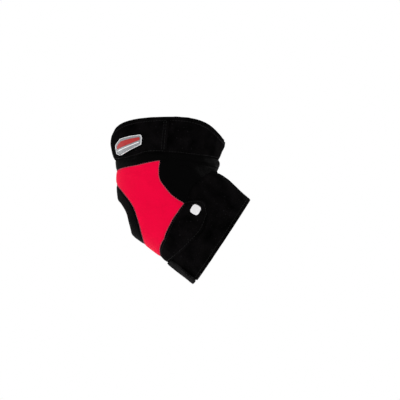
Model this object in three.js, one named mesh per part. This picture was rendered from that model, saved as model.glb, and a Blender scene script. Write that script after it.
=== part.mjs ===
// Elbow brace as worn on a bent arm: a neoprene sleeve of sewn panels with two straps.
// X runs from the point of the elbow to the inner elbow, Y across the arm, Z up the upper arm.
// The origin is the middle of the bent elbow. Lengths are in millimetres.
import * as THREE from "three";

// Overall sizes of the sleeve's outer face
const ARM_WIDTH = 100;
const BRACE_HEIGHT = 166;
const SLEEVE_DEPTH = 88;

// Walls and clearances
const SLEEVE_WALL = 3;
const STRAP_WALL = 2.2;
const LAYER_GAP = 0.4;
const SEAM_GAP = 0.3;

// Opening at the point of the elbow and the ring round it
const HOLE_LENGTH = 36;
const HOLE_WIDTH = 37;
const RING_LENGTH = 66;
const RING_SPAN = 58.5;

// Upper strap: the climb of its free end over its start, which begins past the badge, and its drop below the rim
const CLIMB_CLEARANCE = 1;
const CLIMB_LENGTH = 8;
const STRAP_DROP = 2;

// Flap under the forearm
const FLAP_WIDTH = 36;
const FLAP_LIFT = 3.2;
const FLAP_SETBACK = 2.6;

// Badge and mark
const BADGE_WALL = 1.2;
const BADGE_RIM_RISE = 0.6;
const BADGE_RIM_SHARE = 0.88;
const BAR_WALL = 0.6;
const BAR_SHARE = 0.88;
const BAR_ROWS = 2;
const MARK_SIZE = 9.2;
const MARK_WALL = 0.8;

// How finely the walls are divided
const LOOP_STEPS = 60;
const TOP_STEPS = 8;
const FRONT_STEPS = 8;
const LOW_STEPS = 12;

// Places in the side view are percent of ARM_WIDTH along X and of BRACE_HEIGHT along Z.
// Each row is one section of the sleeve: its back and front points, and half its depth
// in percent of SLEEVE_DEPTH. The first row lies above the rim, where only the sides reach.
const SECTIONS = [
  { name: "side rim", back: [-57.8, 48.1], front: [69.0, 48.1], half: 54.0 },
  { name: "rim at back and front", back: [-53.2, 35.5], front: [59.8, 35.0], half: 52.8 },
  { name: "under the strap", back: [-49.4, 24.7], front: [53.2, 24.8], half: 51.1 },
  { name: "below the strap", back: [-49.6, 20.8], front: [54.6, 21.0], half: 51.1 },
  { name: "band seam", back: [-48.8, 16.3], front: [54.2, 18.1], half: 50.6 },
  { name: "crease", back: [-48.7, 10.5], front: [53.0, 15.9], half: 50.0 },
  { name: "above the ring", back: [-48.4, 4.5], front: [54.4, 14.6], half: 49.4 },
  { name: "top of the opening", back: [-47.0, -1.7], front: [57.2, 13.4], half: 48.9 },
  { name: "elbow", back: [-45.0, -8.3], front: [60.2, 12.1], half: 48.4 },
  { name: "below the elbow", back: [-41.2, -15.5], front: [63.6, 10.7], half: 48.3 },
  { name: "end of the opening", back: [-32.7, -22.1], front: [67.2, 8.9], half: 48.3 },
  { name: "below the ring", back: [-21.0, -27.8], front: [71.4, 6.8], half: 48.9 },
  { name: "cuff seam", back: [-8.0, -33.6], front: [75.8, 4.4], half: 49.4 },
  { name: "forearm", back: [9.8, -41.2], front: [80.8, 1.7], half: 50.0 },
  { name: "forearm end", back: [32.0, -49.8], front: [85.9, -0.7], half: 50.6 },
];

// Seam lines of the near side in the side view, from the back to the front.
const BAND_SEAM = [
  [-48.6, 16.3], [-39.5, 18.1], [-26.7, 19.5], [-14.0, 21.2], [-4.5, 22.1],
  [7.0, 23.0], [19.0, 23.1], [31.0, 21.7], [43.0, 19.3], [53.4, 17.6],
];
const STRAP_EDGE = [
  [-49.0, 22.7], [-41.0, 23.1], [-33.0, 24.1], [-16.4, 27.0], [0.0, 27.1],
  [25.0, 25.6], [44.5, 24.3], [53.6, 23.1],
];
const CUFF_SEAM = [
  [-4.2, -35.4], [-0.8, -24.5], [5.1, -16.0], [12.9, -8.4], [19.3, -3.1],
  [23.6, 1.8], [27.5, 5.8], [36.0, 10.8], [46.5, 15.2], [52.8, 15.6],
];
const RED_FRONT = [
  [-4.5, 22.1], [-5.7, 16.9], [-4.6, 10.8], [-0.7, 7.2], [6.5, 2.1], [13.4, -1.0], [19.3, -3.1],
];

// Forearm strap: its edge towards the hand and its rounded free end.
const STRAP_LOW_EDGE = [
  [3.0, -38.4], [18.6, -31.0], [27.7, -25.6], [34.0, -21.7], [38.6, -17.3], [42.3, -10.8], [42.0, -6.0],
];
const STRAP_LOW_FRONT = [83.0, 3.0];
const STRAP_END = [
  [19.3, -3.1], [23.0, -1.5], [29.0, -1.1], [36.0, -1.5], [40.2, -3.3], [42.0, -6.0],
];

// Folds of the sleeve at the bend. Centre, half length and half width are in percent of
// ARM_WIDTH, heights in percent of SLEEVE_DEPTH, and slope is the fold's angle in degrees.
const FOLDS = [
  { name: "puff in the bend", at: [32.0, 13.0], slope: -12, long: 15, wide: 7.5, height: 3.4 },
  { name: "valley under the band", at: [28.0, 20.3], slope: -6, long: 16, wide: 4.0, height: -1.5 },
  { name: "groove beside the cuff", at: [40.0, 10.6], slope: 40, long: 15, wide: 4.0, height: -1.8 },
  { name: "swell of the cuff", at: [57.0, 9.0], slope: -38, long: 14, wide: 8.0, height: 1.4 },
];

// Ends of the opening along the back, the free end of the upper strap, and the place and slope of the mark
const OPENING_TOP = [-47.0, -1.4];
const OPENING_LOW = [-33.0, -21.3];
const STRAP_FREE_END = [3.0, 35.0];
const MARK_CENTRE = [30.5, -7.2];
const MARK_SLOPE = -30;

// Outline of the badge in the side view: four sides, each with a bend in its middle
const BADGE_CORNERS = {
  top: [[-40.8, 35.6], [-32.0, 37.0], [-21.7, 37.7]],
  right: [[-21.7, 37.7], [-20.9, 36.2], [-21.6, 31.9]],
  low: [[-43.9, 26.6], [-40.6, 25.6], [-21.6, 31.9]],
  left: [[-40.8, 35.6], [-45.1, 31.8], [-43.9, 26.6]],
};

// Rim: how tightly its two dips are rounded, how steeply it climbs from the back and the front,
// and how sharply the one climb gives way to the other at the side
const RIM_DIP = 0.3;
const RIM_BACK = 0.7;
const RIM_FRONT = 1.46;
const RIM_SWITCH = 4;

const HALF_TURN = Math.PI;
const OUTER_FACE = 0;
const SLOPE_STEP = 0.002;

// Materials
function cloth(color, roughness) {
  return new THREE.MeshStandardMaterial({ color, roughness, metalness: 0 });
}
const blackNeoprene = cloth(0x0b0b0d, 0.85);
const redNeoprene = cloth(0xea0838, 0.8);
const loopCloth = cloth(0x0e0d0e, 0.95);
const badgeGrey = cloth(0x86888c, 0.5);
const badgeSilver = cloth(0xd2d4d8, 0.35);
const badgeRed = cloth(0xaf3c40, 0.5);
const whitePrint = cloth(0xf2f2f2, 0.6);

// A place in the side view, as millimetres along X and Z
function side([x, z]) {
  return [(x / 100) * ARM_WIDTH, (z / 100) * BRACE_HEIGHT];
}

// Smooth interpolation through four neighbouring values
function smooth(a, b, c, d, t) {
  const cubic = 3 * b - a - 3 * c + d;
  const square = 2 * a - 5 * b + 4 * c - d;
  return 0.5 * (((cubic * t + square) * t + c - a) * t + 2 * b);
}

const SECTION_VALUES = SECTIONS.map(({ back, front, half }) => [
  ...side(back), ...side(front), (half / 100) * SLEEVE_DEPTH,
]);
const LAST = SECTIONS.length - 1;

// The section at a station, where station 0 is the first row of the table
function section(station) {
  const row = Math.min(Math.max(Math.floor(station), 0), LAST - 1);
  const pick = (i) => SECTION_VALUES[Math.min(Math.max(i, 0), LAST)];
  const [a, b, c, d] = [pick(row - 1), pick(row), pick(row + 1), pick(row + 2)];
  const [bx, bz, fx, fz, depth] = b.map((value, i) => smooth(a[i], value, c[i], d[i], station - row));
  return { back: [bx, bz], front: [fx, fz], depth };
}

// A point of the plain sleeve. The turn is 0 at the back, positive on the near side, a half turn at the front.
function plainPoint(turn, station) {
  const { back, front, depth } = section(station);
  const share = (1 - Math.cos(turn)) / 2;
  return new THREE.Vector3(
    back[0] + (front[0] - back[0]) * share,
    -depth * Math.sin(turn),
    back[1] + (front[1] - back[1]) * share,
  );
}

function plainNormal(turn, station) {
  const round = plainPoint(turn + SLOPE_STEP, station).sub(plainPoint(turn - SLOPE_STEP, station));
  const along = plainPoint(turn, station + SLOPE_STEP).sub(plainPoint(turn, station - SLOPE_STEP));
  return along.cross(round).normalize();
}

// Height of the folds over a point of the sleeve
function foldHeight(point) {
  let height = 0;
  for (const fold of FOLDS) {
    const [x, z] = side(fold.at);
    const slope = THREE.MathUtils.degToRad(fold.slope);
    const along = ((point.x - x) * Math.cos(slope) + (point.z - z) * Math.sin(slope)) / (fold.long / 100);
    const across = ((point.z - z) * Math.cos(slope) - (point.x - x) * Math.sin(slope)) / (fold.wide / 100);
    const reach = (along * along + across * across) / (ARM_WIDTH * ARM_WIDTH);
    height += (fold.height / 100) * SLEEVE_DEPTH * Math.exp(-reach);
  }
  return height;
}

// A point at a height over the sleeve's outer face
function place([turn, station], height) {
  const point = plainPoint(turn, station);
  return point.addScaledVector(plainNormal(turn, station), height + foldHeight(point));
}

// Turn and station of a place in the side view, on the near side
function locate(spot) {
  const [x, z] = side(spot);
  const offLine = (station) => {
    const { back, front } = section(station);
    return (front[0] - back[0]) * (z - back[1]) - (front[1] - back[1]) * (x - back[0]);
  };
  let low = 0;
  let high = LAST;
  for (let i = 0; i < 40; i += 1) {
    const middle = (low + high) / 2;
    if (offLine(middle) < 0) low = middle;
    else high = middle;
  }
  const station = (low + high) / 2;
  const { back, front } = section(station);
  const reach = [front[0] - back[0], front[1] - back[1]];
  const share = ((x - back[0]) * reach[0] + (z - back[1]) * reach[1]) / (reach[0] ** 2 + reach[1] ** 2);
  return [Math.acos(1 - 2 * Math.min(Math.max(share, 0), 1)), station];
}

// A curve through places of the side view, read by a share of its length from 0 to 1
function seam(spots) {
  const points = spots.map(locate).map(([turn, station]) => new THREE.Vector2(turn, station));
  const curve = new THREE.SplineCurve(points);
  return (share) => curve.getPoint(share).toArray();
}

// A curve that runs all the way round, read by the turn: the far side mirrors the near side
function loop(spots) {
  const known = spots.map(locate);
  known[0][0] = 0;
  known[known.length - 1][0] = HALF_TURN;
  return (turn) => {
    const wrapped = Math.abs(Math.atan2(Math.sin(turn), Math.cos(turn)));
    let i = 0;
    while (i < known.length - 2 && wrapped > known[i + 1][0]) i += 1;
    const t = (wrapped - known[i][0]) / (known[i + 1][0] - known[i][0]);
    const before = known[Math.abs(i - 1)][1];
    const after = known[Math.min(i + 2, 2 * (known.length - 1) - i - 2)][1];
    return smooth(before, known[i][1], known[i + 1][1], after, t);
  };
}

const bandSeam = loop(BAND_SEAM);
const strapEdge = loop(STRAP_EDGE);
const cuffSeam = loop(CUFF_SEAM);
const strapLow = loop([...STRAP_LOW_EDGE, STRAP_LOW_FRONT]);
const redFront = seam(RED_FRONT);

// The rim: station 1 at back and front, station 0 at the middle of each side
function rim(turn) {
  const level = (sine) => Math.hypot(sine, RIM_DIP) - RIM_DIP;
  const frontShare = (1 - Math.tanh(RIM_SWITCH * Math.cos(turn))) / 2;
  const climb = RIM_BACK + (RIM_FRONT - RIM_BACK) * frontShare;
  return 1 - (level(Math.sin(turn)) / level(1)) ** climb;
}

// A closed wall over a grid of places. The grid's rows may close on themselves.
function wall(name, material, grid, bottom, top, { ring = false, inset = SEAM_GAP / 2 } = {}) {
  const rows = grid.length;
  const cols = grid[0].length;
  const height = (value, r, c) => (typeof value === "function" ? value(r / (rows - 1), c / (cols - 1)) : value);
  const points = [];
  for (const value of [top, bottom]) {
    const face = grid.map((row, r) => row.map((spot, c) => place(spot, height(value, r, c))));
    drawIn(face, ring, inset);
    points.push(...face.flat());
  }
  const faces = [];
  const count = rows * cols;
  const id = (r, c, layer) => layer * count + r * cols + (c % cols);
  const quad = (a, b, c, d) => faces.push(a, b, c, a, c, d);
  const lastCol = ring ? cols : cols - 1;
  for (let r = 0; r < rows - 1; r += 1) {
    for (let c = 0; c < lastCol; c += 1) {
      quad(id(r, c, 0), id(r, c + 1, 0), id(r + 1, c + 1, 0), id(r + 1, c, 0));
      quad(id(r, c, 1), id(r + 1, c, 1), id(r + 1, c + 1, 1), id(r, c + 1, 1));
    }
  }
  for (let c = 0; c < lastCol; c += 1) {
    quad(id(0, c, 0), id(0, c, 1), id(0, c + 1, 1), id(0, c + 1, 0));
    quad(id(rows - 1, c, 0), id(rows - 1, c + 1, 0), id(rows - 1, c + 1, 1), id(rows - 1, c, 1));
  }
  if (!ring) {
    for (let r = 0; r < rows - 1; r += 1) {
      quad(id(r, 0, 0), id(r + 1, 0, 0), id(r + 1, 0, 1), id(r, 0, 1));
      quad(id(r, cols - 1, 0), id(r, cols - 1, 1), id(r + 1, cols - 1, 1), id(r + 1, cols - 1, 0));
    }
  }
  return solid(name, material, points, faces);
}

// Moves the edge of a face inwards, so that neighbours keep their seam gap
function drawIn(face, ring, inset) {
  const rows = face.length;
  const cols = face[0].length;
  const move = (point, towards) => {
    const step = towards.clone().sub(point);
    const length = step.length();
    if (length > inset) point.addScaledVector(step, inset / length);
  };
  for (let c = 0; c < cols; c += 1) {
    move(face[0][c], face[1][c]);
    move(face[rows - 1][c], face[rows - 2][c]);
  }
  if (ring) return;
  for (let r = 0; r < rows; r += 1) {
    move(face[r][0], face[r][1]);
    move(face[r][cols - 1], face[r][cols - 2]);
  }
}

// A mesh whose faces point outwards
function solid(name, material, points, faces) {
  let volume = 0;
  for (let i = 0; i < faces.length; i += 3) {
    const [a, b, c] = [points[faces[i]], points[faces[i + 1]], points[faces[i + 2]]];
    volume += a.dot(b.clone().cross(c));
  }
  if (volume < 0) faces.reverse();
  const geometry = new THREE.BufferGeometry().setFromPoints(points);
  geometry.setIndex(faces);
  geometry.computeVertexNormals();
  const mesh = new THREE.Mesh(geometry, material);
  mesh.name = name;
  return mesh;
}

// Evenly spaced values from first to last
function steps(first, last, count) {
  return Array.from({ length: count + 1 }, (_, i) => first + ((last - first) * i) / count);
}

// A band round the arm between two curves
function bandGrid(upper, lower, rows) {
  const turns = steps(-HALF_TURN, HALF_TURN, LOOP_STEPS).slice(0, -1);
  return steps(0, 1, rows).map((share) =>
    turns.map((turn) => [turn, upper(turn) + (lower(turn) - upper(turn)) * share]));
}

// A grid between four curves, each read by a share of its length
function patchGrid(top, bottom, left, right, rows, cols) {
  return steps(0, 1, rows).map((down) => steps(0, 1, cols).map((over) => [0, 1].map((i) => {
    const across = left(down)[i] * (1 - over) + right(down)[i] * over;
    const along = top(over)[i] * (1 - down) + bottom(over)[i] * down;
    const corners = (top(0)[i] * (1 - over) + top(1)[i] * over) * (1 - down)
      + (bottom(0)[i] * (1 - over) + bottom(1)[i] * over) * down;
    return across + along - corners;
  })));
}

function mirrored(grid) {
  return grid.map((row) => row.map(([turn, station]) => [-turn, station]));
}

// The opening lies square to a line through the point of the elbow.
const HOLE_TOP = side(OPENING_TOP);
const HOLE_LOW = side(OPENING_LOW);
const HOLE_MIDDLE = [(HOLE_TOP[0] + HOLE_LOW[0]) / 2, (HOLE_TOP[1] + HOLE_LOW[1]) / 2];
const holeReach = Math.hypot(HOLE_LOW[0] - HOLE_TOP[0], HOLE_LOW[1] - HOLE_TOP[1]);
const HOLE_DOWN = [(HOLE_LOW[0] - HOLE_TOP[0]) / holeReach, (HOLE_LOW[1] - HOLE_TOP[1]) / holeReach];

// Turn and station of a point round the opening: angle 0 is its top, a quarter turn its near side
function roundHole(angle, halfLength, halfWidth) {
  const down = -halfLength * Math.cos(angle);
  const over = halfWidth * Math.sin(angle);
  const turnAt = (station) => Math.asin(Math.min(Math.max(over / section(station).depth, -1), 1));
  const short = (station) => {
    const point = plainPoint(turnAt(station), station);
    return (point.x - HOLE_MIDDLE[0]) * HOLE_DOWN[0] + (point.z - HOLE_MIDDLE[1]) * HOLE_DOWN[1] - down;
  };
  let low = 0;
  let high = LAST;
  for (let i = 0; i < 40; i += 1) {
    const middle = (low + high) / 2;
    if (short(middle) < 0) low = middle;
    else high = middle;
  }
  const station = (low + high) / 2;
  return [turnAt(station), station];
}

// Angles round the opening at which the red panel's upper corner and tip lie
const CORNER_ANGLE = THREE.MathUtils.degToRad(52);
const TIP_ANGLE = THREE.MathUtils.degToRad(96);

const ringAngles = [
  ...steps(0, CORNER_ANGLE, TOP_STEPS).slice(0, -1),
  ...steps(CORNER_ANGLE, TIP_ANGLE, FRONT_STEPS).slice(0, -1),
  ...steps(TIP_ANGLE, HALF_TURN, LOW_STEPS),
];
const CORNER_TURN = redFront(0)[0];
const TIP_TURN = redFront(1)[0];
const panelEdge = [
  ...steps(0, CORNER_TURN, TOP_STEPS).slice(0, -1).map((turn) => [turn, bandSeam(turn)]),
  ...steps(0, 1, FRONT_STEPS).slice(0, -1).map(redFront),
  ...steps(TIP_TURN, 0, LOW_STEPS).map((turn) => [turn, cuffSeam(turn)]),
];

// Completes a half ring of places with its mirrored far side
function bothSides(half) {
  const far = half.slice(1, -1).reverse().map(([turn, station]) => [-turn, station]);
  return [...half, ...far];
}

function ringOf(length, width) {
  return bothSides(ringAngles.map((angle) => roundHole(angle, length / 2, width / 2)));
}

function between(inner, outer, rows) {
  return steps(0, 1, rows).map((share) => inner.map(([turn, station], c) => [
    turn + (outer[c][0] - turn) * share,
    station + (outer[c][1] - station) * share,
  ]));
}

const sleeveInside = -SLEEVE_WALL;
const strapInside = LAYER_GAP;
const strapOutside = LAYER_GAP + STRAP_WALL;
const badgeInside = strapOutside + LAYER_GAP;
const badgeOutside = badgeInside + BADGE_WALL;

function upperBand() {
  const grid = bandGrid(rim, bandSeam, 6);
  return wall("upper_band", blackNeoprene, grid, sleeveInside, OUTER_FACE, { ring: true });
}

function sidePanel() {
  const grid = between(ringOf(RING_LENGTH, RING_SPAN), bothSides(panelEdge), 5);
  return wall("side_panel", redNeoprene, grid, sleeveInside, OUTER_FACE, { ring: true });
}

function elbowRing() {
  const grid = between(ringOf(HOLE_LENGTH, HOLE_WIDTH), ringOf(RING_LENGTH, RING_SPAN), 2);
  return wall("elbow_ring", blackNeoprene, grid, sleeveInside, OUTER_FACE, { ring: true });
}

// One crease panel runs from the red panel's front edge to the fold at the front of the bend.
function creaseGrid() {
  const turnFrom = (first) => (share) => first + (HALF_TURN - first) * share;
  const topTurn = turnFrom(CORNER_TURN);
  const lowTurn = turnFrom(TIP_TURN);
  const top = (share) => [topTurn(share), bandSeam(topTurn(share))];
  const low = (share) => [lowTurn(share), cuffSeam(lowTurn(share))];
  const [frontTop, frontLow] = [bandSeam(HALF_TURN), cuffSeam(HALF_TURN)];
  const front = (share) => [HALF_TURN, frontTop + (frontLow - frontTop) * share];
  return patchGrid(top, low, redFront, front, FRONT_STEPS, 10);
}

function creasePanels() {
  const near = wall("crease_panel_near", blackNeoprene, creaseGrid(), sleeveInside, OUTER_FACE);
  const far = wall("crease_panel_far", blackNeoprene, mirrored(creaseGrid()), sleeveInside, OUTER_FACE);
  return [near, far];
}

function forearmCuff() {
  const grid = bandGrid(cuffSeam, () => LAST, 6);
  return wall("forearm_cuff", loopCloth, grid, sleeveInside, OUTER_FACE, { ring: true });
}

// The upper strap starts on the near side, runs round the front, the far side and the back,
// and its free end climbs over its own start.
function upperStrap() {
  const perRadian = SLEEVE_DEPTH / 2;
  const badgeEnd = Math.max(...BADGE_CORNERS.right.map((spot) => locate(spot)[0]));
  const climbStart = 2 * HALF_TURN + badgeEnd + CLIMB_CLEARANCE / perRadian;
  const climbEnd = climbStart + CLIMB_LENGTH / perRadian;
  const start = climbEnd - 2 * HALF_TURN + LAYER_GAP / perRadian;
  const last = 2 * HALF_TURN + locate(STRAP_FREE_END)[0];
  const stationLength = side(SECTIONS[0].back)[1] - side(SECTIONS[1].back)[1];
  const upper = (turn) => rim(turn) + STRAP_DROP / stationLength;
  const turns = steps(start, last, LOOP_STEPS + 4);
  const grid = steps(0, 1, 3).map((share) =>
    turns.map((turn) => [turn, upper(turn) + (strapEdge(turn) - upper(turn)) * share]));
  const climb = (_, along) => {
    const turn = start + (last - start) * along;
    const share = THREE.MathUtils.smoothstep(turn, climbStart, climbEnd);
    return share * (STRAP_WALL + LAYER_GAP);
  };
  const inside = (r, c) => strapInside + climb(r, c);
  const outside = (r, c) => strapOutside + climb(r, c);
  return wall("upper_strap", loopCloth, grid, inside, outside);
}

// The forearm strap runs under the forearm from its square end on the far side
// to its rounded free end on the near side.
function forearmStrap() {
  const lowTurn = locate(STRAP_LOW_EDGE[STRAP_LOW_EDGE.length - 1])[0];
  const along = (edge, reach) => (share) => {
    const turn = -reach + 2 * reach * share;
    return [turn, edge(turn)];
  };
  const top = along(cuffSeam, TIP_TURN);
  const low = along(strapLow, lowTurn);
  const far = (share) => [0, 1].map((i) => top(0)[i] + (low(0)[i] - top(0)[i]) * share);
  const grid = patchGrid(top, low, far, seam(STRAP_END), 5, 32);
  return wall("forearm_strap", loopCloth, grid, strapInside, strapOutside);
}

function underFlap() {
  const [endBack, lastBack] = [section(LAST).back, section(LAST - 1).back];
  const stationLength = Math.hypot(endBack[0] - lastBack[0], endBack[1] - lastBack[1]);
  const last = LAST - FLAP_SETBACK / stationLength;
  const reach = FLAP_WIDTH / SLEEVE_DEPTH;
  const grid = steps(0, 1, 5).map((down) => steps(-reach, reach, 8).map((turn) => {
    const first = strapLow(turn) + SEAM_GAP / stationLength;
    return [turn, first + (last - first) * down];
  }));
  const lift = (down) => FLAP_LIFT * down * down;
  const inside = (down) => strapInside + lift(down);
  const outside = (down) => strapOutside + lift(down);
  return wall("under_flap", loopCloth, grid, inside, outside);
}

// A line of straight stretches, each with an equal share of it
function bent(spots) {
  const known = spots.map(locate);
  return (share) => {
    const reach = share * (known.length - 1);
    const i = Math.min(Math.floor(reach), known.length - 2);
    return [0, 1].map((k) => known[i][k] + (known[i + 1][k] - known[i][k]) * (reach - i));
  };
}

function cornerGrid(corners, rows, cols) {
  return patchGrid(bent(corners.top), bent(corners.low), bent(corners.left), bent(corners.right), rows, cols);
}

// Draws a grid in towards its middle
function shrunk(grid, share) {
  const spots = grid.flat();
  const middle = [0, 1].map((i) => spots.reduce((sum, spot) => sum + spot[i], 0) / spots.length);
  return grid.map((row) => row.map((spot) => spot.map((value, i) => middle[i] + (value - middle[i]) * share)));
}

// The places round the edge of a grid, in order
function edgeOf(grid) {
  const last = grid.length - 1;
  const across = grid[0].length - 1;
  return [
    ...grid[0].slice(0, across),
    ...grid.slice(0, last).map((row) => row[across]),
    ...grid[last].slice(1).reverse(),
    ...grid.slice(1).reverse().map((row) => row[0]),
  ];
}

function badge() {
  const outline = cornerGrid(BADGE_CORNERS, 4, 6);
  const field = shrunk(outline, BADGE_RIM_SHARE);
  const rimGrid = between(edgeOf(field), edgeOf(outline), 1);
  const bar = shrunk(field.slice(0, BAR_ROWS + 1), BAR_SHARE);
  const barInside = badgeOutside + SEAM_GAP;
  return [
    wall("badge_plate", badgeGrey, field, badgeInside, badgeOutside),
    wall("badge_rim", badgeSilver, rimGrid, badgeInside, badgeOutside + BADGE_RIM_RISE, { ring: true }),
    wall("badge_bar", badgeRed, bar, barInside, barInside + BAR_WALL, { inset: 0 }),
  ];
}

// A rounded square, plain and white
function strapMark() {
  const [x, z] = side(MARK_CENTRE);
  const slope = THREE.MathUtils.degToRad(MARK_SLOPE);
  const half = MARK_SIZE / 2;
  const grid = steps(1, -1, 4).map((down) => steps(-1, 1, 4).map((over) => {
    const right = half * over * Math.sqrt(1 - (down * down) / 3);
    const up = half * down * Math.sqrt(1 - (over * over) / 3);
    const spotX = x + right * Math.cos(slope) - up * Math.sin(slope);
    const spotZ = z + right * Math.sin(slope) + up * Math.cos(slope);
    return locate([(spotX / ARM_WIDTH) * 100, (spotZ / BRACE_HEIGHT) * 100]);
  }));
  const inside = strapOutside + SEAM_GAP;
  return wall("strap_mark", whitePrint, grid, inside, inside + MARK_WALL, { inset: 0 });
}

const brace = new THREE.Group();
brace.add(
  upperBand(),
  sidePanel(),
  elbowRing(),
  ...creasePanels(),
  forearmCuff(),
  upperStrap(),
  forearmStrap(),
  underFlap(),
  ...badge(),
  strapMark(),
);

export default brace;
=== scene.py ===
# %% [markdown]
# # Dressing an elbow brace
#
# The brace is a neoprene sleeve sewn from panels, with a strap round the upper arm and another
# round the forearm, shown as it sits on a bent arm. The packed model gives its sizes and places.
# This lesson lays fine cloth over them: each panel becomes a sheet with rounded, stitched edges.

# %% Load the frame
import math

import bpy
import numpy as np
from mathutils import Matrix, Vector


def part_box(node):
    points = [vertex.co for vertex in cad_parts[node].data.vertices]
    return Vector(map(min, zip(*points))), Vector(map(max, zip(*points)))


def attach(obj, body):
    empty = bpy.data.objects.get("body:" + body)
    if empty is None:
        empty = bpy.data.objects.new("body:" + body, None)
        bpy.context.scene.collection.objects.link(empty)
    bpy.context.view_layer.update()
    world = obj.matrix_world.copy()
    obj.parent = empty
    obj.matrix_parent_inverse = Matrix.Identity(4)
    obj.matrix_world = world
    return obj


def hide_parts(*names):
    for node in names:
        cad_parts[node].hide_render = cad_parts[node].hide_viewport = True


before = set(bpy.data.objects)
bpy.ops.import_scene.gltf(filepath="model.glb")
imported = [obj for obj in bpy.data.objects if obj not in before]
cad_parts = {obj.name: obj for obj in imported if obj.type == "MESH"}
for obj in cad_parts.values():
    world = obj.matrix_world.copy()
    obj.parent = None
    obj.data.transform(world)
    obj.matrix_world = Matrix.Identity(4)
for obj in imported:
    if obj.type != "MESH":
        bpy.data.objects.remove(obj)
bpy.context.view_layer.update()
print("nodes to dress:", len(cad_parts))

# %% [markdown]
# Everything is selected after loading. An operator in Blender acts on all that is selected, so
# the first habit to learn is to clear the selection before any new piece is made.

# %% Clear the selection
def deselect():
    bpy.ops.object.select_all(action="DESELECT")
    bpy.context.view_layer.objects.active = None


deselect()
print("selected now:", len(bpy.context.selected_objects))

# %% [markdown]
# The camera comes first, because every later choice is judged through it. The photograph is a
# plain side view from far away, so a long lens keeps the two ends of the sleeve true to size.

# %% Camera
VIEW_WIDTH = 0.400
VIEW_DISTANCE = 2.6
SENSOR_WIDTH = 36.0
VIEW_CENTRE = (0.035, -0.002)

camera_data = bpy.data.cameras.new("camera")
camera_data.sensor_width = SENSOR_WIDTH
camera_data.lens = SENSOR_WIDTH * VIEW_DISTANCE / VIEW_WIDTH
camera = bpy.data.objects.new("camera", camera_data)
camera.location = (VIEW_CENTRE[0], -VIEW_DISTANCE, VIEW_CENTRE[1])
camera.rotation_euler = (math.radians(90), 0, 0)
bpy.context.scene.collection.objects.link(camera)
bpy.context.scene.camera = camera
print("lens in mm:", round(camera_data.lens, 1))

# %% [markdown]
# The sleeve is one smooth form: a row of oval sections that turns round the bend. The same short
# table as the model's source holds them, as shares of three sizes. Here the three sizes are read
# back from the packed nodes, so the cloth always fits the solids that it covers.

# %% Sizes of the sleeve
cuff_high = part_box("forearm_cuff")[1]
band_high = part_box("upper_band")[1]
CUFF_REACH_SHARE = 0.8579
CUFF_HALF_SHARE = 0.5059
RIM_SHARE = 0.4810
ARM_WIDTH = cuff_high.x / CUFF_REACH_SHARE
SLEEVE_DEPTH = cuff_high.y / CUFF_HALF_SHARE
BRACE_HEIGHT = band_high.z / RIM_SHARE
print("width, depth, height in mm:", [round(1000 * v, 1) for v in (ARM_WIDTH, SLEEVE_DEPTH, BRACE_HEIGHT)])

MM = 0.001
SLEEVE_WALL = 3 * MM
STRAP_WALL = 2.2 * MM
LAYER_GAP = 0.4 * MM

# %% [markdown]
# Between two sections the sleeve is smooth, so a point of it needs just two numbers: how far
# round the arm it lies, and at which section, fractions included.

# %% Sections of the sleeve
# Each row: back x and z, front x and z, half depth, in percent of the width, height and depth.
SECTIONS = np.array([
    (-57.8, 48.1, 69.0, 48.1, 54.0),
    (-53.2, 35.5, 59.8, 35.0, 52.8),
    (-49.4, 24.7, 53.2, 24.8, 51.1),
    (-49.6, 20.8, 54.6, 21.0, 51.1),
    (-48.8, 16.3, 54.2, 18.1, 50.6),
    (-48.7, 10.5, 53.0, 15.9, 50.0),
    (-48.4, 4.5, 54.4, 14.6, 49.4),
    (-47.0, -1.7, 57.2, 13.4, 48.9),
    (-45.0, -8.3, 60.2, 12.1, 48.4),
    (-41.2, -15.5, 63.6, 10.7, 48.3),
    (-32.7, -22.1, 67.2, 8.9, 48.3),
    (-21.0, -27.8, 71.4, 6.8, 48.9),
    (-8.0, -33.6, 75.8, 4.4, 49.4),
    (9.8, -41.2, 80.8, 1.7, 50.0),
    (32.0, -49.8, 85.9, -0.7, 50.6),
])
SIZES = np.array([ARM_WIDTH, BRACE_HEIGHT, ARM_WIDTH, BRACE_HEIGHT, SLEEVE_DEPTH])
ROWS = SECTIONS / 100 * SIZES
LAST = len(ROWS) - 1


def smooth(a, b, c, d, t):
    """A smooth step from b to c that also heeds their neighbours."""
    cubic = 3 * b - a - 3 * c + d
    square = 2 * a - 5 * b + 4 * c - d
    return 0.5 * (((cubic * t + square) * t + c - a) * t + 2 * b)


def section(station):
    """Back x and z, front x and z, and half depth at each station."""
    station = np.asarray(station, float)
    row = np.clip(np.floor(station), 0, LAST - 1).astype(int)
    near = [ROWS[np.clip(row + i, 0, LAST)] for i in (-1, 0, 1, 2)]
    return smooth(*near, (station - row)[..., None])


def plain_point(turn, station):
    """Points of the sleeve: turn 0 is the back, positive turns are the near side."""
    rows = section(station)
    share = (1 - np.cos(turn)) / 2
    x = rows[..., 0] + (rows[..., 2] - rows[..., 0]) * share
    z = rows[..., 1] + (rows[..., 3] - rows[..., 1]) * share
    return np.stack([x, -rows[..., 4] * np.sin(turn), z], axis=-1)


def plain_normal(turn, station, step=0.002):
    """Directions straight out of the sleeve at the same points."""
    around = plain_point(turn + step, station) - plain_point(turn - step, station)
    along = plain_point(turn, station + step) - plain_point(turn, station - step)
    normal = np.cross(along, around)
    return normal / np.linalg.norm(normal, axis=-1, keepdims=True)


print("front of the sleeve in mm:", np.round(1000 * plain_point(np.array(math.pi), np.array(5.0)), 1))

# %% [markdown]
# Worn cloth folds where the arm bends. Each fold is a soft bump or valley, long one way and
# narrow the other. Rows are easy to move while comparing with the photograph.

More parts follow.
